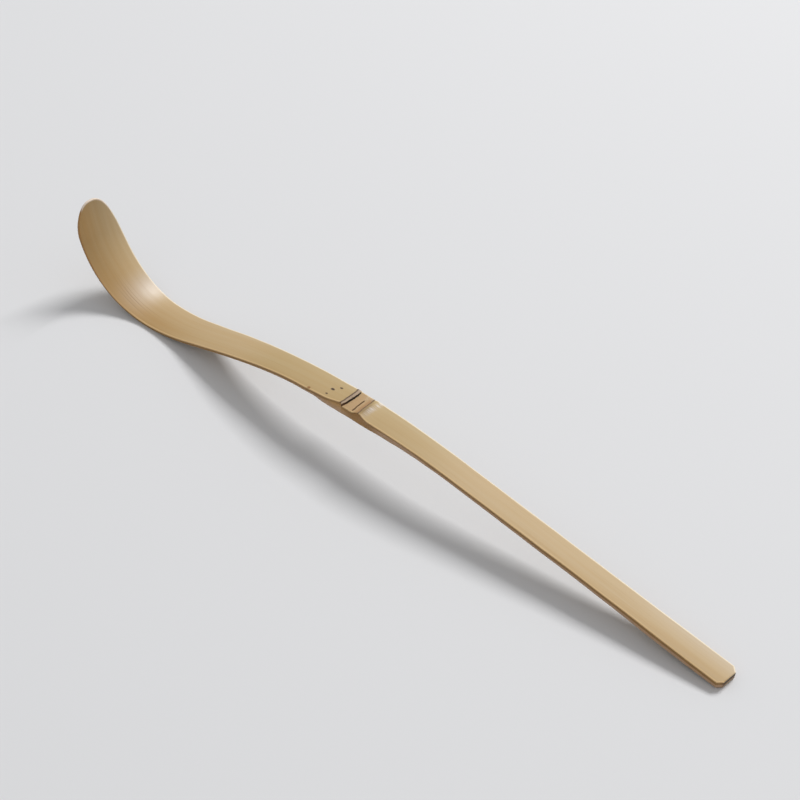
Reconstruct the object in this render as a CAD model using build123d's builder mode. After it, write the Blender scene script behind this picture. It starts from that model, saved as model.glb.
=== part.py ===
"""Bamboo tea scoop: a strip of split culm, skin side up, bent at the blade and shaved on its underside.

Millimetres. +X runs from the blade to the cut end, +Y across the strip and +Z up. The scoop lies on the
table at Z 0, on the underside of its bend and on the lower edge of its cut end. The strip is made as the
regions that a carver names, which meet face to face.
"""
import os
from math import asin, atan2, cos, degrees, hypot, sin, sqrt

from build123d import *

os.makedirs("parts", exist_ok=True)

# Middle line of the skin, from the tip to the cut end: lengths, radii and the angles turned
blade_length = 9.8
blade_radius = 48.0
bend_radius = 19.0
bend_angle = 77.0
neck_radius = 50.0
neck_angle = 14.4
rise_length = 12.1
arch_radius = 160.0
arch_angle = 24.1
handle_length = 69.2

# Widths across the strip
blade_width = 11.7
bend_width = 9.8
rise_width = 7.95
node_width = 6.4
handle_width = 5.7

# Thicknesses at the middle of the strip, and the shaped edges
blade_thickness = 1.3
shaft_thickness = 1.3
node_thickness = 2.6
handle_thickness = 2.05
culm_radius = 40.0
lower_bevel = 0.35
corner_chamfer = 1.1

# Rounded tip: how far its top stands off the middle line, and how far each shoulder runs down the blade
tip_offset = -0.9
near_shoulder = 8.5
far_shoulder = 14.0
shoulder_overrun = 0.15

# Node of the culm: the step at the sheath scar, the lip before it, the scar band and ridge after it
scar_distance = 98.6
swell_length = 14.0
flare_length = 4.5
lip_width = 1.0
lip_height = 0.3
step_run = 0.15
scar_depth = 0.15
scar_band = 4.1
ridge_rise = 1.1
ridge_height = 0.3
ridge_fall = 3.4
groove_distance = 2.6
groove_length = 3.9
groove_offset = -0.45
groove_width = 0.4
groove_depth = 0.25

# Spacing of the cross sections along the curved stretches
section_spacing = 3.0


def skin_line(plane):
    """The middle line of the skin on a plane, as its stretches in order from the tip."""
    with BuildLine(plane):
        blade = JernArc((0, 0), (1, 0), blade_radius, degrees(blade_length / blade_radius))
        bend = JernArc(blade @ 1, blade % 1, bend_radius, bend_angle)
        neck = JernArc(bend @ 1, bend % 1, neck_radius, neck_angle)
        rise = Line(neck @ 1, neck @ 1 + (neck % 1) * rise_length)
        arch = JernArc(rise @ 1, rise % 1, arch_radius, -arch_angle)
        handle = Line(arch @ 1, arch @ 1 + (arch % 1) * handle_length)
    return [blade, bend, neck, rise, arch, handle]


def lying_plane():
    """The plane of the skin line that sets bend and cut end on the table, centred between tip and end."""
    blade, bend, *_, handle = skin_line(Plane.XY)
    normal = Vector(0, 0, 1).cross(handle % 1)
    heel = handle @ 1 - normal * handle_thickness
    to_centre = bend.arc_center - heel
    reach = hypot(to_centre.X, to_centre.Y)
    table = atan2(to_centre.Y, to_centre.X) + asin((bend_radius + blade_thickness) / reach)
    back = blade @ 0 - Vector(0, 0, 1).cross(blade % 0) * blade_thickness
    along = Vector(-cos(table), -sin(table), 0)
    upward = Vector(sin(table), -cos(table), 0)
    middle = (along.dot(back) + along.dot(handle @ 1)) / 2
    return Plane(
        origin=(-middle, 0, -upward.dot(heel)),
        x_dir=(along.X, 0, upward.X),
        z_dir=(0, -1, 0),
    )


stretches = skin_line(lying_plane())
blade_end, bend_end, neck_end, rise_end, arch_end, strip_end = [
    sum(stretch.length for stretch in stretches[: count + 1]) for count in range(len(stretches))
]
blade_limit = max(blade_end, far_shoulder)
lip_edge = scar_distance - lip_width
node_start = lip_edge - flare_length
step_foot = scar_distance + step_run
ridge_line = scar_distance + scar_band
ridge_crest = ridge_line + ridge_rise
node_end = ridge_crest + ridge_fall

width_stations = [
    (0, blade_width),
    (blade_end, blade_width),
    (bend_end, bend_width),
    (rise_end, rise_width),
    (scar_distance, node_width),
    (arch_end, handle_width),
    (strip_end, handle_width),
]
thickness_stations = [
    (0, blade_thickness),
    (bend_end, blade_thickness),
    (lip_edge - swell_length, shaft_thickness),
    (lip_edge, node_thickness),
    (ridge_crest, node_thickness),
    (ridge_crest + swell_length, handle_thickness),
    (strip_end, handle_thickness),
]


def eased(stations, distance):
    """Value at a distance along the strip, on a smooth curve through stations that never overshoots them."""
    rates = [(b[1] - a[1]) / (b[0] - a[0]) for a, b in zip(stations, stations[1:])]
    slopes = [2 * p * q / (p + q) if p * q > 0 else 0 for p, q in zip(rates, rates[1:])]
    slopes = [rates[0], *slopes, rates[-1]]
    index = max(i for i in range(len(rates)) if i == 0 or stations[i][0] <= distance)
    (start, low), (stop, high) = stations[index : index + 2]
    run = stop - start
    u = (distance - start) / run
    rise = (3 - 2 * u) * u**2
    bow = u * (1 - u) * (slopes[index] * (1 - u) - slopes[index + 1] * u)
    return low + (high - low) * rise + run * bow


def on_skin(distance):
    """Plane on the skin at a distance from the tip: X along the strip, Y across it, Z out of the skin."""
    for stretch in stretches[:-1]:
        if distance <= stretch.length:
            break
        distance -= stretch.length
    else:
        stretch = stretches[-1]
    share = distance / stretch.length
    along = stretch % share
    return Plane(origin=stretch @ share, x_dir=along, z_dir=along.cross(Vector(0, 1, 0)))


def strip_section(distance, lift=0):
    """Cross section square to the strip: crowned skin, square sides, flat underside with bevelled edges."""
    half = eased(width_stations, distance) / 2
    depth = eased(thickness_stations, distance)
    skin_edge = lift - culm_radius + sqrt(culm_radius**2 - half**2)
    skin = on_skin(distance)
    with BuildSketch(Plane(origin=skin.origin, x_dir=skin.y_dir, z_dir=skin.x_dir)) as section:
        with BuildLine():
            ThreePointArc((-half, skin_edge), (0, lift), (half, skin_edge))
            Polyline(
                (half, skin_edge),
                (half, lower_bevel - depth),
                (half - lower_bevel, -depth),
                (lower_bevel - half, -depth),
                (-half, lower_bevel - depth),
                (-half, skin_edge),
            )
        make_face()
    return section.sketch


def strip_sections(start, stop):
    """Cross sections at even spacing along a stretch."""
    count = max(2, round((stop - start) / section_spacing))
    return [strip_section(start + (stop - start) * index / count) for index in range(count + 1)]


# Blade, cut to the rounded outline of its tip
with BuildPart() as scoop_blade:
    loft(strip_sections(0, blade_limit))
    near_rise = blade_width / 2 + tip_offset + shoulder_overrun
    far_rise = blade_width / 2 - tip_offset + shoulder_overrun
    with BuildSketch(on_skin(0)):
        with BuildLine():
            near = EllipticalCenterArc((near_shoulder, tip_offset), near_shoulder, near_rise, 180, arc_size=90)
            far = EllipticalCenterArc((far_shoulder, tip_offset), far_shoulder, far_rise, 90, arc_size=90)
            Polyline(
                near @ 1,
                (2 * blade_limit, tip_offset - near_rise),
                (2 * blade_limit, tip_offset + far_rise),
                far @ 0,
            )
        make_face()
    extrude(amount=blade_limit, both=True, mode=Mode.INTERSECT)
scoop_blade.part.label = "scoop_blade"

# Bend under the scoop and the neck that rises from it
with BuildPart() as scoop_bend:
    loft(strip_sections(blade_limit, rise_end))
scoop_bend.part.label = "scoop_bend"

# Arched shaft from the neck to the node
with BuildPart() as upper_shaft:
    loft(strip_sections(rise_end, node_start))
upper_shaft.part.label = "upper_shaft"

# Node: flared lip, step, sunk scar band with a short groove, and the ridge that falls to the handle
with BuildPart() as bamboo_node:
    node_sections = [
        strip_section(node_start),
        strip_section(lip_edge, lip_height),
        strip_section(scar_distance, lip_height),
        strip_section(step_foot, -scar_depth),
        strip_section(ridge_line, -scar_depth),
        strip_section(ridge_crest, ridge_height),
        strip_section(node_end),
    ]
    loft(node_sections, ruled=True)
    with BuildSketch(on_skin(scar_distance + groove_distance)):
        with Locations((0, groove_offset)):
            SlotOverall(groove_length, groove_width, rotation=90)
    extrude(amount=-scar_depth - groove_depth, mode=Mode.SUBTRACT)
bamboo_node.part.label = "bamboo_node"

# Rest of the arch after the node
with BuildPart() as lower_shaft:
    loft(strip_sections(node_end, arch_end))
lower_shaft.part.label = "lower_shaft"

# Handle: straight to the cut end, with its two corners off
with BuildPart() as handle:
    extrude(strip_section(arch_end), amount=handle_length)
    with BuildSketch(on_skin(strip_end)):
        for side in (1, -1):
            edge = side * handle_width / 2
            outer = edge + side * corner_chamfer
            inner = edge - 2 * side * corner_chamfer
            with BuildLine():
                Polyline(
                    (-2 * corner_chamfer, outer),
                    (corner_chamfer, outer),
                    (corner_chamfer, inner),
                    close=True,
                )
            make_face()
    extrude(amount=2 * handle_thickness, both=True, mode=Mode.SUBTRACT)
handle.part.label = "handle"

export_step(scoop_blade.part, "parts/scoop_blade.step")
export_step(scoop_bend.part, "parts/scoop_bend.step")
export_step(upper_shaft.part, "parts/upper_shaft.step")
export_step(bamboo_node.part, "parts/bamboo_node.step")
export_step(lower_shaft.part, "parts/lower_shaft.step")
export_step(handle.part, "parts/handle.step")
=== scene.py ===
import cmath
import math

import bmesh
import bpy
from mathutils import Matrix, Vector


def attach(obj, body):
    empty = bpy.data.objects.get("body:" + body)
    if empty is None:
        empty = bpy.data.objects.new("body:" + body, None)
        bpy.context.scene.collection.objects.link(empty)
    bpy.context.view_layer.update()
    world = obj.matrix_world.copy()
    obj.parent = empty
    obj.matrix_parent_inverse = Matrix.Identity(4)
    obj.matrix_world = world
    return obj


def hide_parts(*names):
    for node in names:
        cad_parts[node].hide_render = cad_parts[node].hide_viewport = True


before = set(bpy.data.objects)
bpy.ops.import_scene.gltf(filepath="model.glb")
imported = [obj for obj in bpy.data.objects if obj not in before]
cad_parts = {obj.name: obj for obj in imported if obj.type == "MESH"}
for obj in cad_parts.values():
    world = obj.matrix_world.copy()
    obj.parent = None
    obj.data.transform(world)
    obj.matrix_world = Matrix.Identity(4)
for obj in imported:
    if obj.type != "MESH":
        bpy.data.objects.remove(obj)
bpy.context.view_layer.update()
print("frame loaded with", len(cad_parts), "regions of the strip")

quarterTurn = math.pi / 2
millimetre = 0.001


class Field:
    # one value that varies over a surface: arithmetic on it becomes Math nodes of its tree
    def __init__(self, socket):
        self.socket = socket
        self.tree = socket.id_data

    def math(self, operation, *others):
        return mathNode(self.tree, operation, self, *others)

    def __add__(self, other):
        return self.math("ADD", other)

    def __sub__(self, other):
        return self.math("SUBTRACT", other)

    def __mul__(self, other):
        return self.math("MULTIPLY", other)

    def __truediv__(self, other):
        return self.math("DIVIDE", other)

    def __rsub__(self, other):
        return mathNode(self.tree, "SUBTRACT", other, self)

    def __rtruediv__(self, other):
        return mathNode(self.tree, "DIVIDE", other, self)

    __radd__ = __add__
    __rmul__ = __mul__


def plug(socket, value):
    if isinstance(value, Field):
        value = value.socket
    if isinstance(value, bpy.types.NodeSocket):
        socket.id_data.links.new(value, socket)
    else:
        socket.default_value = value


def addNode(tree, kind, inputs=None, **settings):
    node = tree.nodes.new(kind)
    for name, value in settings.items():
        setattr(node, name, value)
    for key, value in (inputs or {}).items():
        plug(node.inputs[key], value)
    return node


def mathNode(tree, operation, *values):
    node = addNode(tree, "ShaderNodeMath", dict(enumerate(values)), operation=operation)
    return Field(node.outputs[0])


def share(field, start, stop, ease="LINEAR"):  # 0 before start, 1 after stop
    inputs = {"Value": field, "From Min": start, "From Max": stop}
    node = addNode(field.tree, "ShaderNodeMapRange", inputs, interpolation_type=ease)
    return Field(node.outputs["Result"])


def eased(field, start, stop):
    return share(field, start, stop, "SMOOTHSTEP")


def bump(field, middle, halfWidth):  # a soft hump of height 1
    return eased((field - middle).math("ABSOLUTE"), halfWidth, 0.0)


def mixed(first, second, amount):
    return first + (second - first) * amount


def joined(tree, x, y, z):
    node = addNode(tree, "ShaderNodeCombineXYZ", {"X": x, "Y": y, "Z": z})
    return node.outputs["Vector"]


def noise(tree, vector, detail=2.0, roughness=0.5):  # about -1 to 1
    inputs = {"Vector": vector, "Scale": 1.0, "Detail": detail, "Roughness": roughness}
    node = addNode(tree, "ShaderNodeTexNoise", inputs)
    return Field(node.outputs[0]) * 2.0 - 1.0


def arc(radius, angle):  # length in mm and turn of an arc
    turn = math.radians(angle)
    return radius * abs(turn), turn


# Skin's middle line from the tip: length of each stretch in mm and the angle that it turns
bladeLength = 9.8
bladeRadius = 48.0
skinLine = {
    "blade": (bladeLength, bladeLength / bladeRadius),
    "bend": arc(19.0, 77.0),
    "neck": arc(50.0, 14.4),
    "rise": (12.1, 0.0),
    "arch": arc(160.0, -24.1),
    "handle": (69.2, 0.0),
}
stripLength = sum(length for length, turn in skinLine.values())

stripShape = {  # mm, unless it says otherwise
    "bladeThickness": 1.3,
    "handleThickness": 2.05,
    "culmRadius": 40.0,
    "edgeRound": 0.22,
    "edgeDrop": 0.18,
    "sideLean": 0.1,
    "farSpread": 0.2,  # the far edge stands out more than the near one
    "spreadStart": 6.0,
    "spreadFull": 60.0,
    "tipOffset": -0.9,
    "nearShoulder": 8.5,
    "farShoulder": 14.0,
    "tipFullness": 1.18,  # powers of the tip's rounding, 1 for an ellipse
    "shoulderFullness": 0.84,
    "edgeReach": 6.0,  # distances from the edge are told apart up to here
    # cut end, which runs further at its far corner and at its lower edge
    "cornerChamfer": 1.05,
    "endOver": 0.1,
    "endSkew": 0.4,
    "skewStart": 0.87,  # share of the handle's rings
    "endLean": 0.17,
    "leanStart": 192.0,
    # lip, step and sunk band of the scar, and the ridge behind it
    "scarPlace": 98.4,
    "flareLength": 4.5,
    "flareCurve": 1.7,  # power
    "lipWidth": 0.82,
    "lipHeight": 0.3,
    "stepRun": 0.15,
    "scarDepth": 0.15,
    "scarBand": 4.1,
    "ridgeRise": 1.1,
    "ridgeHeight": 0.3,
    "ridgeFall": 3.6,
    "ridgeCurve": 0.62,  # power
    "scarBow": 0.4,  # how far the middle of the scar's lines runs ahead of their ends
    "bowReach": 3.2,
    "scarSlant": 0.09,  # how far they run on for each mm across
    "bowHold": 1.2,  # bow and slant are whole up to here past the scar, and end at bowStop
    "bowStop": 2.6,
    "scarWobble": 0.2,
    "farRelief": 0.45,  # share of the node's relief that reaches the far edge
    "reliefFull": 1.2,
    "reliefStop": 3.4,
    "groovePlace": 2.6,
    "grooveStart": -2.4,
    "grooveStop": 1.5,
    "grooveTaper": 0.2,
    "grooveReach": 0.24,
    "grooveDepth": 0.25,
    # how far the skin's near edge is cut back at lip, band and ridge
    "lipNotch": 0.72,
    "lipNotchLength": 4.4,
    "lipNotchCurve": 1.5,  # power
    "lipNotchStop": 0.75,
    "bandNotch": 0.28,
    "bandNotchRise": 0.8,
    "ridgeNotch": 0.9,
    "ridgeNotchLength": 3.6,
    "ridgeNotchCurve": 2.0,  # power
    "ridgeNotchRise": 1.5,
    "notchHold": 0.1,
    # marks of the knife
    "knifeWave": 0.07,
    "knifeFacets": 0.07,  # depth of the shavings taken off the underside
}

stripCurves = {  # stations as mm from the tip and mm
    "width": [(0, 11.7), (9.8, 11.7), (35.3, 9.8), (60.0, 7.95), (98.6, 6.4), (127.3, 5.7), (196.5, 5.7)],
    "thickness": [
        (0, 0.5), (3, 0.8), (10, 1.3), (65, 1.28), (76, 1.4), (84, 1.5), (90, 1.75),
        (96, 2.55), (100, 2.48), (104.5, 2.62), (108, 2.46), (112, 2.34), (117, 2.1),
        (122, 2.02), (128, 1.88), (150, 1.98), (165, 2.05), (178, 2.1), (196.5, 2.0),
    ],
    "near cut": [  # how far the near side is cut back
        (0, 0.0), (60, 0.0), (68, 0.08), (76, 0.24), (82, 0.28), (88, 0.12), (93, 0.2),
        (97, 0.1), (104, 0.0), (112, 0.0), (120, 0.08), (130, 0.14), (140, 0.23),
        (152, 0.28), (166, 0.37), (176, 0.33), (184, 0.25), (196.5, 0.23),
    ],
    "lower round": [  # radius of the lower edges
        (0, 0.15), (5, 0.36), (60, 0.32), (98, 0.45), (125, 0.6), (165, 0.58), (182, 0.3), (196.5, 0.28),
    ],
}

# Uneven marks: repeats to the mm, and a fixed seed for each
knifeMarks = {
    "waveRate": 0.11,
    "waveSides": 5.0,
    "waveSeed": 3.0,
    "wobbleRate": 0.9,
    "wobbleSeed": 7.0,
    "facetRates": (0.16, 0.45),
    "facetSeed": 9.0,
}

sectionSteps = {"skin": 16, "edge": 5, "side": 8, "corner": 5, "under": 14}  # for half a section
ringCounts = {"blade": 64, "bend": 150, "upper": 100, "node": 200, "lower": 60, "handle": 170}
ringCounts.update({"chamfer": 6, "round": 6, "cap": 2})  # the cut end
nearShare = 0.72  # share of the blade's rings that the near shoulder takes
cornerSlope = math.tan(math.pi / 8)  # draws an inset outline in at the chamfered corners
mergeDistance = 0.002  # mm
regionNames = ["scoop_blade", "scoop_bend", "upper_shaft", "bamboo_node", "lower_shaft", "handle"]
handleRegion = regionNames.index("handle")


def lyingStart():  # place and heading of the tip, with bend and cut end on the table, centred lengthwise
    place, heading, stops = 0j, 0.0, []
    for length, turn in skinLine.values():
        stops.append((place, heading))
        if turn:
            turned = cmath.exp(1j * (heading + turn)) - cmath.exp(1j * heading)
            place += turned * length / (1j * turn)
        else:
            place += length * cmath.exp(1j * heading)
        heading += turn
    bendPlace, bendHeading = stops[1]
    bendRadius = skinLine["bend"][0] / skinLine["bend"][1]
    heel = place - stripShape["handleThickness"] * 1j * cmath.exp(1j * heading)
    toCentre = bendPlace + bendRadius * 1j * cmath.exp(1j * bendHeading) - heel
    reach = math.asin((bendRadius + stripShape["bladeThickness"]) / abs(toCentre))
    lying = cmath.exp(-1j * (cmath.phase(toCentre) + reach + math.pi))
    back = -1j * stripShape["bladeThickness"]
    middle = ((lying * back).real + (lying * place).real) / 2
    return -middle, -(lying * heel).imag, cmath.phase(lying)


def alongCurve(tree, name, distance):  # a value drawn along the strip through its stations
    stations = stripCurves[name]
    top = max(value for place, value in stations)
    node = addNode(tree, "ShaderNodeFloatCurve", {"Value": distance / stripLength}, label=name)
    points = node.mapping.curves[0].points
    for place, value in stations[2:]:
        points.new(place / stripLength, value / top)
    for point, (place, value) in zip(points, stations):
        point.location = (place / stripLength, value / top)
        point.handle_type = "AUTO_CLAMPED"
    node.mapping.update()
    return Field(node.outputs["Value"]) * top


def store(geometry, name, value, domain="POINT", kind="FLOAT"):
    tree = geometry.id_data
    inputs = {"Geometry": geometry, "Name": name, "Value": value}
    node = addNode(tree, "GeometryNodeStoreNamedAttribute", inputs, domain=domain, data_type=kind)
    return node.outputs["Geometry"]


def read(tree, name, kind="FLOAT"):
    node = addNode(tree, "GeometryNodeInputNamedAttribute", {"Name": name}, data_type=kind)
    return Field(node.outputs["Attribute"])


def stripSpots(size):  # distances from the tip at which the strip changes
    spots = {"archStart": size["bladeLength"] + size["bendLength"] + size["neckLength"] + size["riseLength"]}
    spots["archEnd"] = spots["archStart"] + size["archLength"]
    spots["lipEdge"] = size["scarPlace"] - size["lipWidth"]
    spots["nodeStart"] = spots["lipEdge"] - size["flareLength"]
    spots["ridgeLine"] = size["scarPlace"] + size["scarBand"]
    spots["ridgeCrest"] = spots["ridgeLine"] + size["ridgeRise"]
    spots["nodeEnd"] = spots["ridgeCrest"] + size["ridgeFall"]
    spots["stripEnd"] = size["endOver"] + stripLength
    spots["chamferStart"] = spots["stripEnd"] - size["cornerChamfer"]
    return spots


# Rings of each region: where they lie, and how the outline closes at the tip and at the cut end
def buildRings(tree, size, spots):
    columns = 2 * sum(sectionSteps.values()) + 1
    index = Field(addNode(tree, "GeometryNodeInputIndex").outputs[0])
    row = (index / columns).math("FLOOR")
    around = (index - row * columns) * (2.0 / (columns - 1)) - 1.0
    parts = []

    def addRings(region, name, fields, endFace=0.0):
        grid = addNode(tree, "GeometryNodeMeshGrid", {"Vertices X": ringCounts[name], "Vertices Y": columns})
        geometry = store(grid.outputs["Mesh"], "around", around)
        geometry = store(geometry, "fromTop", around.math("ABSOLUTE"))
        for field, value in fields.items():
            geometry = store(geometry, field, value)
        geometry = store(geometry, "endFace", endFace, "FACE")
        parts.append(store(geometry, "region", region, "FACE", "INT"))

    def going(name):  # 0 at the first ring and 1 at the last
        return row / (ringCounts[name] - 1)

    goes = going("blade")
    nearClose = (1.0 - share(goes, 0.0, nearShare)) * quarterTurn
    farClose = (1.0 - goes) * quarterTurn
    nearPlace = size["nearShoulder"] * (1.0 - nearClose.math("SINE").math("POWER", size["tipFullness"]))
    nearPlace += (size["farShoulder"] - size["nearShoulder"]) * share(goes, nearShare, 1.0)
    farPlace = size["farShoulder"] * (1.0 - farClose.math("SINE").math("POWER", size["tipFullness"]))
    tipFields = {"along": nearPlace, "lead": farPlace - nearPlace}
    addRings(0, "blade", {**tipFields, "nearClose": nearClose, "farClose": farClose})

    stops = [size["farShoulder"], spots["archStart"], spots["nodeStart"], spots["nodeEnd"], spots["archEnd"]]
    for region, name in enumerate(("bend", "upper", "node", "lower"), 1):
        addRings(region, name, {"along": mixed(stops[region - 1], stops[region], going(name))})

    goes = going("handle")
    handlePlace = mixed(spots["archEnd"], spots["chamferStart"], goes)
    lead = eased(goes, size["skewStart"], 1.0) * size["endSkew"]
    addRings(handleRegion, "handle", {"along": handlePlace, "pull": goes * -cornerSlope, "lead": lead})
    goes = going("chamfer")
    chamferPlace = mixed(spots["chamferStart"], spots["stripEnd"], goes)
    chamferFields = {"along": chamferPlace, "trim": goes, "lead": size["endSkew"]}
    chamferFields["pull"] = goes * (cornerSlope - 1.0) - cornerSlope
    addRings(handleRegion, "chamfer", chamferFields)
    endFields = {"along": spots["stripEnd"], "trim": 1.0, "pull": -1.0, "lead": size["endSkew"]}
    addRings(handleRegion, "round", {**endFields, "endTurn": going("round") * quarterTurn})
    capFields = {**endFields, "endTurn": quarterTurn, "middle": going("cap")}
    addRings(handleRegion, "cap", capFields, endFace=1.0)

    merged = addNode(tree, "GeometryNodeJoinGeometry")
    for part in reversed(parts):
        tree.links.new(part, merged.inputs[0])
    return merged.outputs[0]


# Section: skin, rounded edge, side, rounded lower corner and underside, each as a share from 0 to 1
def buildSection(tree, size):
    fromTop = read(tree, "fromTop")
    scale = 1.0 / sum(sectionSteps.values())
    section = {}
    begin = 0
    for name, steps in sectionSteps.items():
        section[name] = share(fromTop, begin * scale, (begin + steps) * scale)
        begin += steps
    endTurn = read(tree, "endTurn")
    section["edgeTurn"] = (section["edge"] * quarterTurn).math("MAXIMUM", endTurn)
    section["cornerTurn"] = ((1.0 - section["corner"]) * quarterTurn).math("MAXIMUM", endTurn)
    section["lowerRound"] = alongCurve(tree, "lower round", read(tree, "along"))
    inset = size["edgeRound"] * (1.0 - section["edgeTurn"].math("SINE"))
    inset += section["lowerRound"] * (1.0 - section["cornerTurn"].math("SINE"))
    section["inset"] = inset
    section["facing"] = read(tree, "around").math("SIGN")  # -1 on the near half, 1 on the far one
    section["spread"] = section["facing"] * section["skin"] * (1.0 - section["under"]) * 0.5 + 0.5
    return section


# How far the near edge is cut back: notches in the skin's edge at the node, and the whole side
def nearCut(tree, size, spots, distance, side):
    lipEdge, ridgeLine = spots["lipEdge"], spots["ridgeLine"]
    hold, ridgeStart = size["notchHold"], ridgeLine - size["ridgeNotchRise"]
    atLip = share(distance, lipEdge - size["lipNotchLength"], lipEdge).math("POWER", size["lipNotchCurve"])
    cut = atLip * size["lipNotch"] * eased(distance, lipEdge + size["lipNotchStop"], lipEdge + hold)
    atRidge = share(distance, ridgeLine + size["ridgeNotchLength"], ridgeLine + hold)
    atRidge = atRidge.math("POWER", size["ridgeNotchCurve"]) * eased(distance, ridgeStart, ridgeLine)
    cut += atRidge * size["ridgeNotch"]
    inBand = eased(distance, lipEdge, lipEdge + size["bandNotchRise"])
    inBand *= eased(distance, ridgeLine, ridgeStart)
    cut += inBand * size["bandNotch"]
    return cut * (1.0 - side) + alongCurve(tree, "near cut", distance)


# Distance from the tip, distance across and distance from the edge, on the outline drawn in by the inset
def buildOutline(tree, size, spots, section):
    side, inset, spread = section["side"], section["inset"], section["spread"]
    nearClose, farClose = read(tree, "nearClose"), read(tree, "farClose")
    along, pull, middle = read(tree, "along"), read(tree, "pull"), read(tree, "middle")
    nearPlace = along + inset * (pull + nearClose.math("SINE"))
    farPlace = along + read(tree, "lead") + inset * (pull + farClose.math("SINE"))
    distance = mixed(nearPlace, farPlace, spread)
    distance += size["endLean"] * share(along, size["leanStart"], spots["chamferStart"]) * side
    distance = mixed(distance, spots["stripEnd"] + (size["endSkew"] + size["endLean"]) * 0.5, middle)

    waveSide = section["facing"] * knifeMarks["waveSides"]
    waves = joined(tree, distance * knifeMarks["waveRate"], waveSide, knifeMarks["waveSeed"])
    halfWidth = alongCurve(tree, "width", distance) * 0.5 + noise(tree, waves) * size["knifeWave"]
    trim = read(tree, "trim") * (size["cornerChamfer"] - inset * (1.0 - cornerSlope))
    reach = halfWidth - size["sideLean"] * side - inset - trim
    nearReach = nearCut(tree, size, spots, distance, side) - reach
    farReach = reach + size["farSpread"] * share(distance, size["spreadStart"], size["spreadFull"])
    nearFull = nearClose.math("COSINE").math("POWER", size["shoulderFullness"])
    farFull = farClose.math("COSINE").math("POWER", size["shoulderFullness"])
    nearEdge = mixed(size["tipOffset"], nearReach, nearFull)
    farEdge = mixed(size["tipOffset"], farReach, farFull)
    sideways = mixed(nearEdge, farEdge, spread) * (1.0 - middle)

    def outlineDistance(shoulder, outer):  # to the outline, which is rounded at the tip
        run = ((shoulder - distance) / shoulder).math("MAXIMUM", 0.0)
        span = outer - size["tipOffset"]
        aside = ((sideways - size["tipOffset"]) / span).math("MAXIMUM", 0.0)
        runPower = 2.0 / size["tipFullness"]
        asidePower = 2.0 / size["shoulderFullness"]
        fullness = run.math("POWER", runPower) + aside.math("POWER", asidePower)
        runSlope = run.math("POWER", runPower - 1.0) * runPower / shoulder
        asideSlope = aside.math("POWER", asidePower - 1.0) * asidePower / span
        slope = (runSlope * runSlope + asideSlope * asideSlope).math("SQRT")
        return (1.0 - fullness) / (slope + 0.001)

    onFar = sideways.math("GREATER_THAN", size["tipOffset"])
    toNear = outlineDistance(size["nearShoulder"], nearReach - inset)
    toFar = outlineDistance(size["farShoulder"], farReach + inset)
    fromEdge = mixed(toNear, toFar, onFar).math("MINIMUM", size["edgeReach"])
    return distance, sideways, fromEdge


# Relief of the node: flared lip, step, sunk band with its groove, ridge
def buildRelief(tree, size, spots, distance, sideways):
    scar, lipEdge, ridgeCrest = size["scarPlace"], spots["lipEdge"], spots["ridgeCrest"]
    unevenness = joined(tree, sideways * knifeMarks["wobbleRate"], knifeMarks["wobbleSeed"], 0.0)
    wobble = noise(tree, unevenness, detail=4.0, roughness=0.6) * size["scarWobble"]
    bow = (1.0 - (sideways / size["bowReach"]).math("POWER", 2.0)).math("MAXIMUM", 0.0) * size["scarBow"]
    ahead = bow + sideways * size["scarSlant"]
    place = distance + wobble - ahead * eased(distance, scar + size["bowStop"], scar + size["bowHold"])
    lift = share(place, spots["nodeStart"], lipEdge).math("POWER", size["flareCurve"]) * size["lipHeight"]
    lift -= eased(place, scar, scar + size["stepRun"]) * (size["lipHeight"] + size["scarDepth"])
    lift += eased(place, spots["ridgeLine"], ridgeCrest) * (size["scarDepth"] + size["ridgeHeight"])
    fall = share(place, ridgeCrest, spots["nodeEnd"]).math("POWER", size["ridgeCurve"])
    lift -= eased(fall, 0.0, 1.0) * size["ridgeHeight"]
    lift *= mixed(eased(sideways, size["reliefStop"], size["reliefFull"]), 1.0, size["farRelief"])
    taper = size["grooveTaper"]
    grooveEnds = eased(sideways, size["grooveStart"] - taper, size["grooveStart"] + taper)
    grooveEnds *= eased(sideways, size["grooveStop"] + taper, size["grooveStop"] - taper)
    groove = bump(place, scar + size["groovePlace"], size["grooveReach"]) * grooveEnds
    lift -= groove * size["grooveDepth"]
    return place - scar, lift, groove


# Height over the skin's middle line, and that of the crowned skin above each point
def buildHeight(tree, size, section, distance, sideways, lift):
    depth = alongCurve(tree, "thickness", distance)
    crown = lift - sideways * sideways / (size["culmRadius"] * 2.0)
    sideHeight = crown - size["edgeDrop"] - section["lowerRound"] + depth
    height = crown - size["edgeDrop"] * (1.0 - section["edgeTurn"].math("COSINE"))
    height -= section["side"] * sideHeight
    height -= section["lowerRound"] * section["cornerTurn"].math("COSINE")
    alongRate, acrossRate = knifeMarks["facetRates"]
    shavings = joined(tree, distance * alongRate, sideways * acrossRate, knifeMarks["facetSeed"])
    facets = noise(tree, shavings, detail=1.0).math("ABSOLUTE")
    height += facets * eased(section["under"], 0.0, 0.5) * size["knifeFacets"]
    return mixed(height, depth * -0.5, read(tree, "middle")), crown


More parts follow.
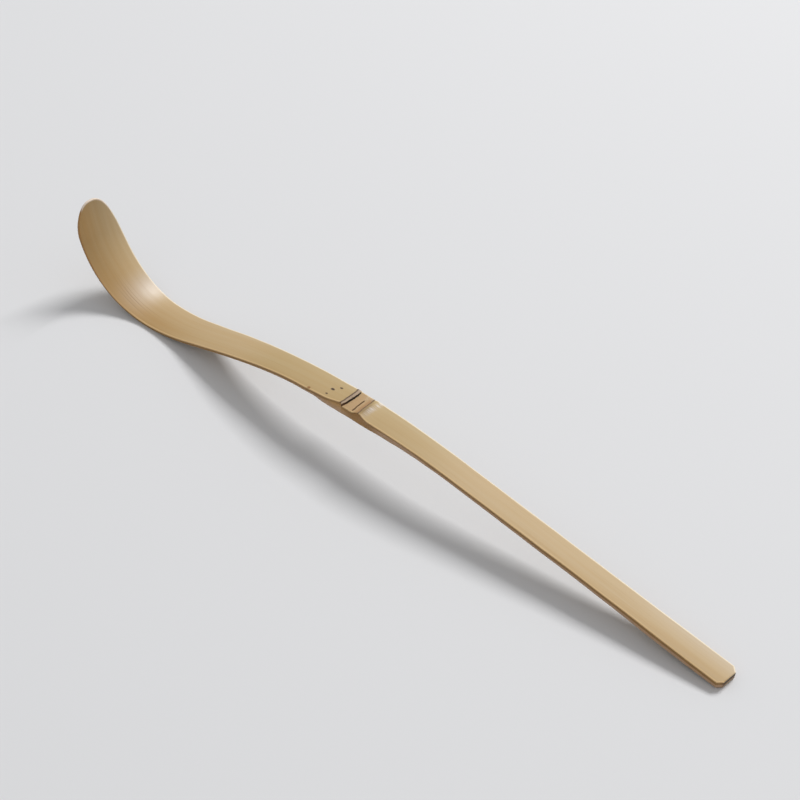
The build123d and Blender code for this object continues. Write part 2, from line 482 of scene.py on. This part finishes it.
# Place of a point over the skin's middle line, which is arcs and straights
def buildPosition(tree, size, distance, sideways, height):
    x, z, heading = size["startX"], size["startZ"], size["startHeading"]
    begun = 0.0
    turned = heading
    for name, (length, turn) in skinLine.items():
        run = (distance - begun).math("MAXIMUM", 0.0)
        if name != "handle":
            run = run.math("MINIMUM", size[name + "Length"])
        if turn:
            bent = heading + run * size[name + "Turn"] / size[name + "Length"]
            radius = size[name + "Length"] / size[name + "Turn"]
            x = x + (bent.math("SINE") - heading.math("SINE")) * radius
            z = z + (heading.math("COSINE") - bent.math("COSINE")) * radius
            turned = turned + (bent - heading)
            heading = heading + size[name + "Turn"]
        else:
            x = x + run * heading.math("COSINE")
            z = z + run * heading.math("SINE")
        begun = size[name + "Length"] + begun
    x = x - turned.math("SINE") * height
    z = z + turned.math("COSINE") * height
    return joined(tree, x * millimetre, sideways * millimetre, z * millimetre)


def setFinishes(tree, geometry, groupInput):  # cut bamboo all over, then skin, and scar on the node's skin
    skinShare = (sectionSteps["skin"] + sectionSteps["edge"]) / sum(sectionSteps.values())
    onSkin = read(tree, "fromTop").math("LESS_THAN", skinShare) * (1.0 - read(tree, "endFace"))
    nodeRegion = float(regionNames.index("bamboo_node"))
    onNode = read(tree, "region", "INT").math("COMPARE", nodeRegion, 0.5)
    for name, chosen in (("cutFinish", None), ("skinFinish", onSkin), ("scarFinish", onSkin * onNode)):
        inputs = {"Geometry": geometry, "Material": groupInput.outputs[name]}
        if chosen:
            inputs["Selection"] = chosen
        geometry = addNode(tree, "GeometryNodeSetMaterial", inputs).outputs["Geometry"]
    return geometry


def buildStripTree(sizes):
    tree = bpy.data.node_groups.new("bambooStrip", "GeometryNodeTree")
    tree.interface.new_socket("Geometry", in_out="OUTPUT", socket_type="NodeSocketGeometry")
    kinds = {**dict.fromkeys(sizes, "NodeSocketFloat"), **dict.fromkeys(finishes, "NodeSocketMaterial")}
    identifiers = {}
    for name, kind in kinds.items():
        identifiers[name] = tree.interface.new_socket(name, in_out="INPUT", socket_type=kind).identifier
    groupInput = tree.nodes.new("NodeGroupInput")
    size = {name: Field(groupInput.outputs[name]) for name in sizes}

    spots = stripSpots(size)
    geometry = buildRings(tree, size, spots)
    section = buildSection(tree, size)
    distance, sideways, fromEdge = buildOutline(tree, size, spots, section)
    pastScar, lift, groove = buildRelief(tree, size, spots, distance, sideways)
    height, crown = buildHeight(tree, size, section, distance, sideways, lift)
    position = buildPosition(tree, size, distance, sideways, height)

    # What the finishes read: place along, across and below the skin in mm, edge, node and underside
    stripPlace = joined(tree, distance, sideways, crown - height)
    geometry = store(geometry, "stripPlace", stripPlace, kind="FLOAT_VECTOR")
    geometry = store(geometry, "fromEdge", fromEdge)
    geometry = store(geometry, "pastScar", pastScar)
    geometry = store(geometry, "grooveDepth", groove)
    geometry = store(geometry, "skinLift", lift)
    geometry = store(geometry, "underside", section["corner"] * (1.0 - read(tree, "middle")))
    moved = addNode(tree, "GeometryNodeSetPosition", {"Geometry": geometry, "Position": position})
    closing = {"Geometry": moved.outputs[0], "Distance": mergeDistance * millimetre}
    closed = addNode(tree, "GeometryNodeMergeByDistance", closing)
    realized = addNode(tree, "GeometryNodeRealizeInstances", {"Geometry": closed.outputs[0]})
    geometry = setFinishes(tree, realized.outputs[0], groupInput)
    tree.links.new(geometry, tree.nodes.new("NodeGroupOutput").inputs[0])
    return tree, identifiers


def paint(red, green, blue):  # a colour as a picture shows it, as the linear one that nodes take
    channels = []
    for level in (red, green, blue):
        level /= 255
        channels.append(level / 12.92 if level <= 0.04045 else ((level + 0.055) / 1.055) ** 2.4)
    return (*channels, 1.0)


def mixColour(tree, first, second, amount, blend="MIX"):
    inputs = {0: amount, 6: first, 7: second}  # the sockets of a colour mix
    return addNode(tree, "ShaderNodeMix", inputs, data_type="RGBA", blend_type=blend).outputs[2]


def ramp(field, stops):  # colour stops at places from 0 to 1
    node = addNode(field.tree, "ShaderNodeValToRGB", {"Fac": field})
    elements = node.color_ramp.elements
    while len(elements) < len(stops):
        elements.new(1.0)
    for element, (place, colour) in zip(elements, stops):
        element.position = place
        element.color = colour
    return node.outputs["Color"]


def newGroup(name, inputs, outputs):
    tree = bpy.data.node_groups.new(name, "ShaderNodeTree")
    for direction, sockets in (("INPUT", inputs), ("OUTPUT", outputs)):
        for socket, kind in sockets.items():
            tree.interface.new_socket(socket, in_out=direction, socket_type=kind)
    return tree, tree.nodes.new("NodeGroupInput"), tree.nodes.new("NodeGroupOutput")


def useGroup(tree, group, inputs):
    return addNode(tree, "ShaderNodeGroup", inputs, node_tree=group)


def stretched(tree, place, rates):  # the strip's place with each direction scaled
    return addNode(tree, "ShaderNodeVectorMath", {0: place, 1: rates}, operation="MULTIPLY").outputs[0]


def splitPlace(tree, place):
    node = addNode(tree, "ShaderNodeSeparateXYZ", {"Vector": place})
    return [Field(output) for output in node.outputs]


def stripPlaceOf(tree):
    return addNode(tree, "ShaderNodeAttribute", attribute_name="stripPlace").outputs["Vector"]


def attribute(tree, name):
    return Field(addNode(tree, "ShaderNodeAttribute", attribute_name=name).outputs["Fac"])


grainLook = {
    # patterns, as repeats to the mm along, across and below
    "broad": (0.02, 0.7, 0.7),
    "fibre": (0.05, 4.5, 4.5),
    "hair": (0.12, 16.0, 16.0),
    "patch": (0.06, 0.9, 0.9),  # where the hairs show
    # levels of the patch pattern from fewest hairs to all, and the share that is left between patches
    "patchShare": (-0.35, 0.4),
    "patchLeast": 0.25,
}


def buildGrain():  # lengthwise grain that both the skin and the cut faces show
    outputs = {"Drift": "NodeSocketFloat", "Fibre": "NodeSocketFloat", "Hair": "NodeSocketFloat"}
    tree, source, target = newGroup("lengthwiseGrain", {"Place": "NodeSocketVector"}, outputs)
    place = source.outputs["Place"]
    least = grainLook["patchLeast"]
    patches = share(noise(tree, stretched(tree, place, grainLook["patch"])), *grainLook["patchShare"])
    patches = patches * (1.0 - least) + least
    for name, rates, detail in (("Drift", "broad", 2.0), ("Fibre", "fibre", 3.0), ("Hair", "hair", 2.0)):
        value = noise(tree, stretched(tree, place, grainLook[rates]), detail=detail)
        if name == "Hair":
            value *= patches
        plug(target.inputs[name], value)
    return tree


skinLook = {
    "golden": paint(190, 159, 111),
    "pale": paint(196, 171, 131),
    "brown": paint(152, 116, 70),
    "speck": paint(66, 44, 24),
    # painted shade in the wrinkles of the bend
    "creaseShade": paint(140, 104, 62),
    "nearEdge": paint(230, 194, 140),
    # pale shaved edge with a painted glint, whiter than the near edge
    "farEdge": paint(250, 237, 212),
    "bladeEdge": paint(186, 138, 82),
    "tipEdge": paint(238, 220, 200),
    "edgeBrown": paint(140, 92, 46),
    "bloomAndPaintedShine": paint(210, 202, 198),  # whitish painted highlight of the bend, with a little of the skin's waxy bloom
    # painted sheen on the far side towards the cut end
    "paintedEndSheen": paint(210, 196, 176),
    "nodeTint": (0.91, 0.91, 0.83, 1.0),
    "bladeTint": (1.15, 1.09, 1.0, 1.0),
    "toastedAndShaded": (0.84, 0.76, 0.63, 1.0),  # tint of the blade and bend, which were heated; painted shade makes it deeper on the near side
    "roughness": 0.58,
    "polish": 0.2,  # the bend is smoother
    "relief": 0.015,  # mm
    # marks: mm along, mm across, mm long, mm wide, strength
    "specks": [(93.1, -2.0, 0.66, 0.44, 0.9), (93.3, -0.2, 1.05, 0.66, 1.0), (94.6, 1.2, 0.85, 0.5, 0.95)],
    "edgeMark": (88.6, -2.85, 0.9, 0.6, 0.9),
    "warmLevels": (1.8, -1.8),  # of the broad grain and of painted shade across the strip, from pale to golden
    # ranges in mm, from where an effect starts to where it is full
    "toastAlong": (54.0, 34.0),
    "toastAcross": (5.5, -3.0),
    "toastTip": (-14.0, 20.0),
    "bladeAlong": (14.0, 4.0),
    "bladeAcross": (1.0, -3.5),
    "nodeRise": (62.0, 78.0),
    "nodeFall": (136.0, 116.0),
    "bloomAndShineAcross": (-5.5, 3.5),
    "polishAcross": (-4.8, 3.0),
    "endAlong": (165.0, 190.0),
    "endFar": (-0.6, 2.2),
    "endNear": (-0.6, -2.4),
    "wearAndGlintEdge": (0.46, 0.18),
    "edgeAcross": (-1.0, 1.0),
    "bladeEdgeAlong": (34.0, 16.0),
    "bladeEdgeAcross": (0.0, -2.0),
    "tipEdgeAlong": (6.5, 4.5),
    "tipEdgeAcross": (-3.9, -3.3),
    # humps in mm, as middle and half width
    "bloomAndShineAlong": (26.6, 6.6),
    "polishAlong": (28.5, 11.5),
    "creaseAlong": (27.3, 9.5),
    "creaseAcross": (-0.8, 4.2),
    # patterns, as repeats to the mm along, across and below
    "creaseRates": (0.03, 2.4, 0.0),
    "raggedRates": (2.6, 4.5, 0.0),
}


def buildCulmSkin(grain):  # the culm's outer skin: tone, gloss and relief
    look = skinLook
    inputs = {"Place": "NodeSocketVector", "From Edge": "NodeSocketFloat"}
    outputs = {"Colour": "NodeSocketColor", "Roughness": "NodeSocketFloat", "Height": "NodeSocketFloat"}
    outputs["Edge"] = "NodeSocketFloat"
    tree, source, target = newGroup("culmSkinTone", inputs, outputs)
    place = source.outputs["Place"]
    fromEdge = Field(source.outputs["From Edge"])
    along, across = splitPlace(tree, place)[:2]
    lines = useGroup(tree, grain, {"Place": place})
    drift, fibre, hair = [Field(lines.outputs[name]) for name in ("Drift", "Fibre", "Hair")]

    # golden tone from the broad grain, with painted shade that turns the near side golden and the far side
    # paler
    warmGrainAndShade = share(across * 0.3 + drift * 2.4, *look["warmLevels"])
    colour = mixColour(tree, look["pale"], look["golden"], warmGrainAndShade)
    # tint of the heated blade and bend, with painted shade that makes it deeper towards the near side
    toastAndShade = eased(along, *look["toastAlong"]) * share(across + drift, *look["toastAcross"])
    toastAndShade *= share(along, *look["toastTip"])
    colour = mixColour(tree, colour, look["toastedAndShaded"], toastAndShade, "MULTIPLY")
    nearBlade = eased(along, *look["bladeAlong"]) * share(across, *look["bladeAcross"])
    colour = mixColour(tree, colour, look["bladeTint"], nearBlade, "MULTIPLY")
    aroundNode = eased(along, *look["nodeRise"]) * eased(along, *look["nodeFall"])
    colour = mixColour(tree, colour, look["nodeTint"], aroundNode, "MULTIPLY")
    # painted highlight: the bend's skin is whitened where the shine lies, with a little of its waxy bloom
    bloomAndPaintedShine = bump(along, *look["bloomAndShineAlong"]) * share(across, *look["bloomAndShineAcross"])
    colour = mixColour(tree, colour, look["bloomAndPaintedShine"], bloomAndPaintedShine * 0.36)
    # towards the cut end: painted sheen makes the far side paler and painted shade the near side a little
    # browner
    atEnd = eased(along, *look["endAlong"])
    colour = mixColour(tree, colour, look["paintedEndSheen"], atEnd * share(across, *look["endFar"]) * 0.42)
    colour = mixColour(tree, colour, look["brown"], atEnd * share(across, *look["endNear"]) * 0.18)
    streaks = share(fibre + hair * 0.6, 0.1, 1.1)
    colour = mixColour(tree, colour, look["brown"], streaks * 0.35)

    # painted shade: dark lines in the compression wrinkles of the bend
    creases = share(noise(tree, stretched(tree, place, look["creaseRates"]), detail=2.0), 0.08, 0.3)
    creases *= bump(along, *look["creaseAlong"])
    creases *= bump(across, *look["creaseAcross"])
    colour = mixColour(tree, colour, look["creaseShade"], creases * 0.75)

    # pale shaved edges; on the far edge their colour also carries a painted glint
    edgeWearAndGlint = share(fromEdge + fibre * 0.1, *look["wearAndGlintEdge"])
    edgeColour = mixColour(tree, look["nearEdge"], look["farEdge"], share(across, *look["edgeAcross"]))
    onBlade = share(along, *look["bladeEdgeAlong"]) * share(across, *look["bladeEdgeAcross"])
    edgeColour = mixColour(tree, edgeColour, look["bladeEdge"], onBlade)
    atTip = share(along, *look["tipEdgeAlong"]) * share(across, *look["tipEdgeAcross"])
    edgeColour = mixColour(tree, edgeColour, look["tipEdge"], atTip)
    colour = mixColour(tree, colour, edgeColour, edgeWearAndGlint * (0.8 + atTip * 0.2))

    ragged = noise(tree, stretched(tree, place, look["raggedRates"]), detail=4.0, roughness=0.6) * 0.7

    def markAt(spot, side, length, width, strength):
        far = ((along - spot) / (length / 2)).math("POWER", 2.0)
        far += ((across - side) / (width / 2)).math("POWER", 2.0)
        return share(far + ragged, 1.5, 0.4) * strength

    specks = markAt(*look["specks"][0])
    for speck in look["specks"][1:]:
        specks = specks.math("MAXIMUM", markAt(*speck))
    colour = mixColour(tree, colour, look["speck"], specks)
    colour = mixColour(tree, colour, look["edgeBrown"], markAt(*look["edgeMark"]))
    polish = bump(along, *look["polishAlong"]) * look["polish"] * share(across, *look["polishAcross"])
    plug(target.inputs["Edge"], edgeWearAndGlint)
    plug(target.inputs["Colour"], colour)
    plug(target.inputs["Roughness"], fibre * 0.08 + hair * 0.05 + look["roughness"] - polish)
    plug(target.inputs["Height"], fibre * 0.5 + hair * 0.5 - creases - specks)
    return tree


def newFinish(name):  # an empty material with its shader, ready for colour, roughness and relief
    material = bpy.data.materials.new(name)
    material.use_nodes = True
    return material, material.node_tree, material.node_tree.nodes["Principled BSDF"]


def addRelief(tree, shader, height, distance):  # distance in mm
    node = addNode(tree, "ShaderNodeBump", {"Height": height, "Distance": distance * millimetre})
    plug(shader.inputs["Normal"], node.outputs["Normal"])


def buildSkinFinish(culmSkin):
    material, tree, shader = newFinish("culmSkin")
    inputs = {"Place": stripPlaceOf(tree), "From Edge": attribute(tree, "fromEdge")}
    tone = useGroup(tree, culmSkin, inputs)
    plug(shader.inputs["Base Color"], tone.outputs["Colour"])
    plug(shader.inputs["Roughness"], tone.outputs["Roughness"])
    addRelief(tree, shader, tone.outputs["Height"], skinLook["relief"])
    return material


scarLook = {
    "line": paint(76, 52, 34),
    "lip": paint(166, 144, 126),
    # near-black of the step's gap under the lip: painted shadow with some dirt
    "step": paint(30, 15, 9),
    "stepNear": paint(84, 50, 28),
    "band": paint(186, 154, 113),
    "bandGlint": paint(206, 188, 160),
    "bandFibre": paint(162, 118, 74),
    "groove": paint(96, 72, 48),
    # whitish glint of the node's ridge: painted highlight
    "ridge": paint(240, 234, 232),
    "ridgeShade": paint(136, 114, 90),
    "relief": 0.015,  # mm
    # ranges in mm past the scar, from where an effect starts to where it is full
    "lipStart": (-0.88, -0.73),
    "lipStop": (0.0, -0.12),
    "crackStart": (-0.5, -0.25),
    "stepStart": (-0.06, 0.0),
    "stepStop": (0.24, 0.12),
    "bandStart": (0.1, 0.3),
    "bandStop": (4.2, 4.0),
    "bandGlintStart": (1.5, 2.3),
    # ranges in mm across
    "stepAcross": (3.1, 2.75),
    "stepDark": (-2.4, -1.0),
    "smearAcross": (3.4, 2.0),
    "ridgeAcross": (-3.6, 2.8),
    # humps in mm, as middle and half width
    "lipLine": (-0.85, 0.34),
    "smear": (3.75, 0.8),
    "ridgeLine": (4.12, 0.3),
    "shade": (5.3, 1.8),
    "shadeAcross": (-0.5, 3.2),
    "glintStreaks": (6.0, 1.1),
    "crackAcross": (0.3, 0.16),
    # patterns, as repeats to the mm along, across and below
    "mottleRates": (1.6, 2.4, 0.0),
    "glintStreakRates": (0.12, 3.6, 0.0),
}


def buildScarFinish(culmSkin, grain):
    look = scarLook
    material, tree, shader = newFinish("nodeScar")
    place = stripPlaceOf(tree)
    tone = useGroup(tree, culmSkin, {"Place": place, "From Edge": attribute(tree, "fromEdge")})
    lines = useGroup(tree, grain, {"Place": place})
    fibre, hair = [Field(lines.outputs[name]) for name in ("Fibre", "Hair")]
    across = splitPlace(tree, place)[1]
    past = attribute(tree, "pastScar")
    slanted = past + across * 0.04
    mottle = noise(tree, stretched(tree, place, look["mottleRates"]), detail=4.0, roughness=0.65)

    colour = tone.outputs["Colour"]
    lip = share(slanted, *look["lipStart"]) * share(past, *look["lipStop"])
    colour = mixColour(tree, colour, look["lip"], lip * (0.8 + mottle * 0.3))
    lipLine = bump(slanted + mottle * 0.08, *look["lipLine"])
    colour = mixColour(tree, colour, look["line"], lipLine * (1.0 + mottle * 0.4))

    band = share(past, *look["bandStart"]) * share(past + mottle * 0.1, *look["bandStop"])
    bandFibre = share(fibre * 0.6 + hair * 0.5 + mottle, 0.0, 1.4)
    bandColour = mixColour(tree, look["band"], look["bandFibre"], bandFibre)
    # painted highlight: pale grey-white glints on the sunk band, a little more towards the far side
    bandGlints = share(mottle * 1.2 + hair * 0.6 + across * 0.08, 0.1, 0.8) * share(past, *look["bandGlintStart"])
    bandColour = mixColour(tree, bandColour, look["bandGlint"], bandGlints)
    inside = 1.0 - Field(tone.outputs["Edge"]) * 0.7
    colour = mixColour(tree, colour, bandColour, band * inside)
    groove = share(attribute(tree, "grooveDepth"), 0.15, 0.6)
    colour = mixColour(tree, colour, look["groove"], groove)
    smear = bump(past + mottle * 0.4, *look["smear"]) * share(across, *look["smearAcross"])
    colour = mixColour(tree, colour, look["bandFibre"], smear * 0.6)

    ridgeLine = bump(past + mottle * 0.06, *look["ridgeLine"])
    colour = mixColour(tree, colour, look["line"], ridgeLine * (0.8 + mottle * 0.4))
    shade = bump(past, *look["shade"]) * bump(across, *look["shadeAcross"])
    colour = mixColour(tree, colour, look["ridgeShade"], shade * 0.55)
    # painted highlight: whitish glint streaks just past the ridge's crest, strongest towards the far edge
    glintStreaks = noise(tree, stretched(tree, place, look["glintStreakRates"]), detail=2.0)
    ridge = bump(past + glintStreaks * 0.5 - across * 0.06, *look["glintStreaks"])
    ridge *= share(glintStreaks + hair * 0.5, -0.35, 0.45)
    colour = mixColour(tree, colour, look["ridge"], ridge * share(across, *look["ridgeAcross"]) * 0.9)

    crack = bump(across + mottle * 0.1, *look["crackAcross"]) * share(past, *look["crackStart"]) * lip
    colour = mixColour(tree, colour, look["stepNear"], crack)
    # painted shadow with some dirt: the near-black line in the gap under the lip's step, brown at its near
    # end
    step = share(past, *look["stepStart"]) * share(past + mottle * 0.12, *look["stepStop"])
    step *= share(across, *look["stepAcross"])
    stepColour = mixColour(tree, look["stepNear"], look["step"], share(across + mottle, *look["stepDark"]))
    colour = mixColour(tree, colour, stepColour, step)

    roughness = Field(tone.outputs["Roughness"]) + band * 0.2 + lip * 0.15 + step * 0.3
    height = Field(tone.outputs["Height"]) + (fibre + mottle) * band * 0.7 + mottle * lip
    plug(shader.inputs["Base Color"], colour)
    plug(shader.inputs["Roughness"], roughness)
    addRelief(tree, shader, height, look["relief"])
    return material


cutLook = {
    "rim": paint(222, 178, 118),
    "dark": paint(166, 120, 64),
    "middle": paint(180, 135, 76),
    "inner": paint(218, 178, 140),
    "nodeSide": paint(226, 178, 114),
    "ridgeSide": paint(188, 142, 88),
    "under": paint(220, 188, 142),
    "underNode": paint(190, 146, 96),
    "pith": paint(236, 214, 178),
    "tip": paint(226, 204, 180),
    "endBand": paint(64, 46, 22),
    "endShade": paint(122, 94, 70),
    "bundle": paint(110, 72, 40),
    "roughness": 0.55,
    "relief": 0.04,  # mm
    # layers of the culm's wall from the skin inwards, as shares of wallDepth
    "layers": [
        (0.06, "rim"), (0.1, "dark"), (0.15, "dark"), (0.2, "middle"), (0.38, "middle"), (0.5, "inner"),
    ],
    "wallDepth": 2.0,
    "flattened": 0.85,  # how much less the grain follows the depth on the underside
    # ranges in mm along, from where an effect starts to where it is full
    "tipAlong": (7.0, 3.0),
    "behindTip": (3.0, 10.0),
    "ridgeRise": (97.5, 102.0),
    "ridgeFall": (110.0, 106.0),
    "endAlong": (196.1, 196.4),
    # ranges in mm across or below the skin
    "endAcross": (-1.9, -1.2),
    "endBelow": (1.15, 0.7),
    "sunkBelow": (0.3, 0.5),
    "nodeBelow": (0.2, 0.8),
    "nodeAbove": (1.9, 1.0),
    "ridgeBelow": (0.3, 0.8),
    "bundleBelow": (2.2, 0.3),
    # humps in mm along, as middle and half width
    "sunkAlong": (114.0, 9.0),
    "nodeAlong": (96.5, 5.0),
    "swirlAlong": (101.0, 9.0),
    "underNodeAlong": (101.0, 4.5),
    # patterns, as repeats to the mm along, across and below
    "mottleRates": (1.0, 2.4, 2.4),
    "weaveRates": (0.35, 0.5, 0.0),
    "pithRates": (0.03, 1.6, 0.0),
    "bundleRates": (0.05, 2.6, 3.2),
}


def buildCutFinish(grain):
    look = cutLook
    material, tree, shader = newFinish("cutBamboo")
    along, across, below = splitPlace(tree, stripPlaceOf(tree))
    underside = attribute(tree, "underside")
    # the grain runs straight under the node's relief and over the underside
    layer = (below - attribute(tree, "skinLift")) * (1.0 - underside * look["flattened"])
    place = joined(tree, along, across, layer)
    lines = useGroup(tree, grain, {"Place": place})
    drift, fibre, hair = [Field(lines.outputs[name]) for name in ("Drift", "Fibre", "Hair")]
    mottle = noise(tree, stretched(tree, place, look["mottleRates"]), detail=4.0, roughness=0.65)

    # sides, from the skin inwards
    sunk = bump(along, *look["sunkAlong"]) * share(below, *look["sunkBelow"]) * 0.5
    depth = below + fibre * 0.1 + drift * 0.3 + sunk
    colour = ramp(depth / look["wallDepth"], [(stop, look[name]) for stop, name in look["layers"]])
    nodeSide = bump(along, *look["nodeAlong"]) * share(below, *look["nodeAbove"])
    nodeSide *= share(below, *look["nodeBelow"])
    colour = mixColour(tree, colour, look["nodeSide"], nodeSide * 0.9)
    ridgeSide = eased(along, *look["ridgeRise"]) * eased(along, *look["ridgeFall"])
    colour = mixColour(tree, colour, look["ridgeSide"], ridgeSide * share(below, *look["ridgeBelow"]))
    colour = mixColour(tree, colour, look["tip"], share(along, *look["tipAlong"]) * (1.0 - underside))
    atEnd = share(along, *look["endAlong"]) * share(across, *look["endAcross"])
    colour = mixColour(tree, colour, look["endShade"], atEnd * 0.65)
    endBand = atEnd * share(below + mottle * 0.2, *look["endBelow"])
    colour = mixColour(tree, colour, look["endBand"], endBand)

    # underside, where the fibres weave at the node because the culm's inner wall was shaved off
    weave = noise(tree, stretched(tree, place, look["weaveRates"])) * bump(along, *look["swirlAlong"]) * 1.2
    bent = joined(tree, along, across + weave, layer)
    pith = share(noise(tree, stretched(tree, bent, look["pithRates"]), detail=3.0), -0.1, 0.5)
    underColour = mixColour(tree, look["under"], look["pith"], pith * 0.6)
    underNode = bump(along + mottle, *look["underNodeAlong"])
    underColour = mixColour(tree, underColour, look["underNode"], underNode * 0.75)
    colour = mixColour(tree, colour, underColour, underside)

    # fibres
    behindTip = mixed(share(along, *look["behindTip"]), 1.0, underside)
    cells = addNode(tree, "ShaderNodeTexVoronoi", {"Vector": stretched(tree, bent, look["bundleRates"])})
    bundles = share(Field(cells.outputs["Distance"]), 0.42, 0.2)
    shown = mixed(share(below, *look["bundleBelow"]), 0.75, underside) * behindTip
    colour = mixColour(tree, colour, look["bundle"], bundles * shown * 0.6)
    streaks = share(fibre + hair * 0.7, 0.1, 1.0) * behindTip
    colour = mixColour(tree, colour, look["dark"], streaks * 0.5)

    plug(shader.inputs["Base Color"], colour)
    plug(shader.inputs["Roughness"], fibre * 0.1 + hair * 0.05 + look["roughness"])
    addRelief(tree, shader, (fibre * 0.6 + hair * 0.6) * behindTip, look["relief"])
    return material


grain = buildGrain()
culmSkin = buildCulmSkin(grain)
finishes = {
    "skinFinish": buildSkinFinish(culmSkin),
    "scarFinish": buildScarFinish(culmSkin, grain),
    "cutFinish": buildCutFinish(grain),
}
print("finishes made:", ", ".join(material.name for material in finishes.values()))

sharpAngle = 38.0  # degrees, past which an edge stays crisp


def buildStrip():  # the whole strip as a plain mesh
    startX, startZ, startHeading = lyingStart()
    sizes = {"startX": startX, "startZ": startZ, "startHeading": startHeading, **stripShape}
    for name, (length, turn) in skinLine.items():
        sizes[name + "Length"] = length
        sizes[name + "Turn"] = turn
    tree, identifiers = buildStripTree(sizes)
    holder = bpy.data.objects.new("stripHolder", bpy.data.meshes.new("stripHolder"))
    bpy.context.scene.collection.objects.link(holder)
    modifier = holder.modifiers.new("bambooStrip", "NODES")
    modifier.node_group = tree
    for name, value in {**sizes, **finishes}.items():
        modifier[identifiers[name]] = value
    bpy.context.view_layer.update()
    evaluated = holder.evaluated_get(bpy.context.evaluated_depsgraph_get())
    whole = bpy.data.meshes.new_from_object(evaluated)
    bpy.data.objects.remove(holder)
    whole.set_sharp_from_angle(angle=math.radians(sharpAngle))
    print("strip made with", len(whole.polygons), "faces")
    return whole


def keepNormals(whole):  # stores the shading, so that a cut piece can have it back
    normals = [normal.vector.copy() for normal in whole.corner_normals]
    kept = whole.attributes.new("keptNormal", "FLOAT_VECTOR", "CORNER")
    for item, normal in zip(kept.data, normals):
        item.vector = normal


helperNames = ["around", "fromTop", "along", "lead", "nearClose", "farClose", "pull", "trim", "endTurn"]
helperNames += ["middle", "endFace", "region", "keptNormal"]


def cutPiece(whole, region, name):  # one region as a closed piece, shaded as part of the whole strip
    shape = bmesh.new()
    shape.from_mesh(whole)
    layer = shape.faces.layers.int["region"]
    others = [face for face in shape.faces if face[layer] != region]
    bmesh.ops.delete(shape, geom=others, context="FACES")
    bmesh.ops.holes_fill(shape, edges=shape.edges)
    mesh = bpy.data.meshes.new(name)
    shape.to_mesh(mesh)
    shape.free()
    for material in whole.materials:
        mesh.materials.append(material)
    kept = mesh.attributes["keptNormal"]
    mesh.normals_split_custom_set([item.vector for item in kept.data])
    for helper in helperNames:
        mesh.attributes.remove(mesh.attributes[helper])
    piece = bpy.data.objects.new(name, mesh)
    bpy.context.scene.collection.objects.link(piece)
    return piece


whole = buildStrip()
keepNormals(whole)
for region, node in enumerate(regionNames):
    piece = cutPiece(whole, region, node + ".bamboo")
    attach(piece, "root")
    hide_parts(node)
bpy.data.meshes.remove(whole)
print("pieces cut:", ", ".join(regionNames))

# Floor, light and camera
stageLook = {
    "floorSize": 4.0,  # m
    "floorColour": (0.72, 0.72, 0.73, 1.0),
    "floorRoughness": 0.8,
    "tableColour": (0.3, 0.3, 0.31, 1.0),
    "skyColour": (0.98, 0.99, 1.0, 1.0),
    "skyStrength": 0.46,
    "lampDistance": 2.0,  # m
    # lamps: direction, size in m, power in W
    "keyLight": ((0.07, 0.91, 1.0), 0.62, 30.0),
    "shineLight": ((-0.13, 0.58, 0.81), 0.7, 25.0),
}
photoView = {  # degrees, m and mm of lens
    "azimuth": 41.64,
    "elevation": 44.08,
    "target": (-0.00752, 0.01663, 0.0),
    "distance": 0.35,
    "lens": 69.57,
    "clipStart": 0.01,
}


def buildFloorFinish():  # pale to the eye, while the light that it throws back is that of a grey table
    material, tree, shader = newFinish("paleFloor")
    rays = tree.nodes.new("ShaderNodeLightPath")
    seen = Field(rays.outputs["Is Camera Ray"]) + Field(rays.outputs["Is Glossy Ray"])
    seen += Field(rays.outputs["Is Transmission Ray"])
    colour = mixColour(tree, stageLook["tableColour"], stageLook["floorColour"], seen)
    plug(shader.inputs["Base Color"], colour)
    shader.inputs["Roughness"].default_value = stageLook["floorRoughness"]
    return material


def buildLamp(name):
    direction, size, power = stageLook[name]
    lamp = bpy.data.lights.new(name, "AREA")
    lamp.size = size
    lamp.energy = power
    light = bpy.data.objects.new(name, lamp)
    direction = Vector(direction).normalized()
    light.location = direction * stageLook["lampDistance"]
    light.rotation_euler = direction.to_track_quat("Z", "Y").to_euler()
    bpy.context.scene.collection.objects.link(light)
    return light


def buildStage():
    bpy.ops.mesh.primitive_plane_add(size=stageLook["floorSize"])
    floor = bpy.context.object
    floor.name = "floor"
    floor.data.materials.append(buildFloorFinish())
    world = bpy.data.worlds.new("softSky")
    world.use_nodes = True
    background = world.node_tree.nodes["Background"]
    background.inputs["Color"].default_value = stageLook["skyColour"]
    background.inputs["Strength"].default_value = stageLook["skyStrength"]
    bpy.context.scene.world = world
    buildLamp("keyLight").visible_glossy = False  # lights and casts the shadow
    buildLamp("shineLight").visible_diffuse = False  # shows only as the shine of the bend


def buildCamera():
    azimuth = math.radians(photoView["azimuth"])
    elevation = math.radians(photoView["elevation"])
    level = math.cos(elevation)
    back = Vector((math.sin(azimuth) * level, -math.cos(azimuth) * level, math.sin(elevation)))
    camera = bpy.data.objects.new("photoCamera", bpy.data.cameras.new("photoCamera"))
    camera.data.lens = photoView["lens"]
    camera.data.clip_start = photoView["clipStart"]
    camera.location = Vector(photoView["target"]) + back * photoView["distance"]
    camera.rotation_euler = back.to_track_quat("Z", "Y").to_euler()
    bpy.context.scene.collection.objects.link(camera)
    bpy.context.scene.camera = camera


buildStage()
buildCamera()
bpy.context.scene.view_settings.view_transform = "Standard"
print("stage and camera set")
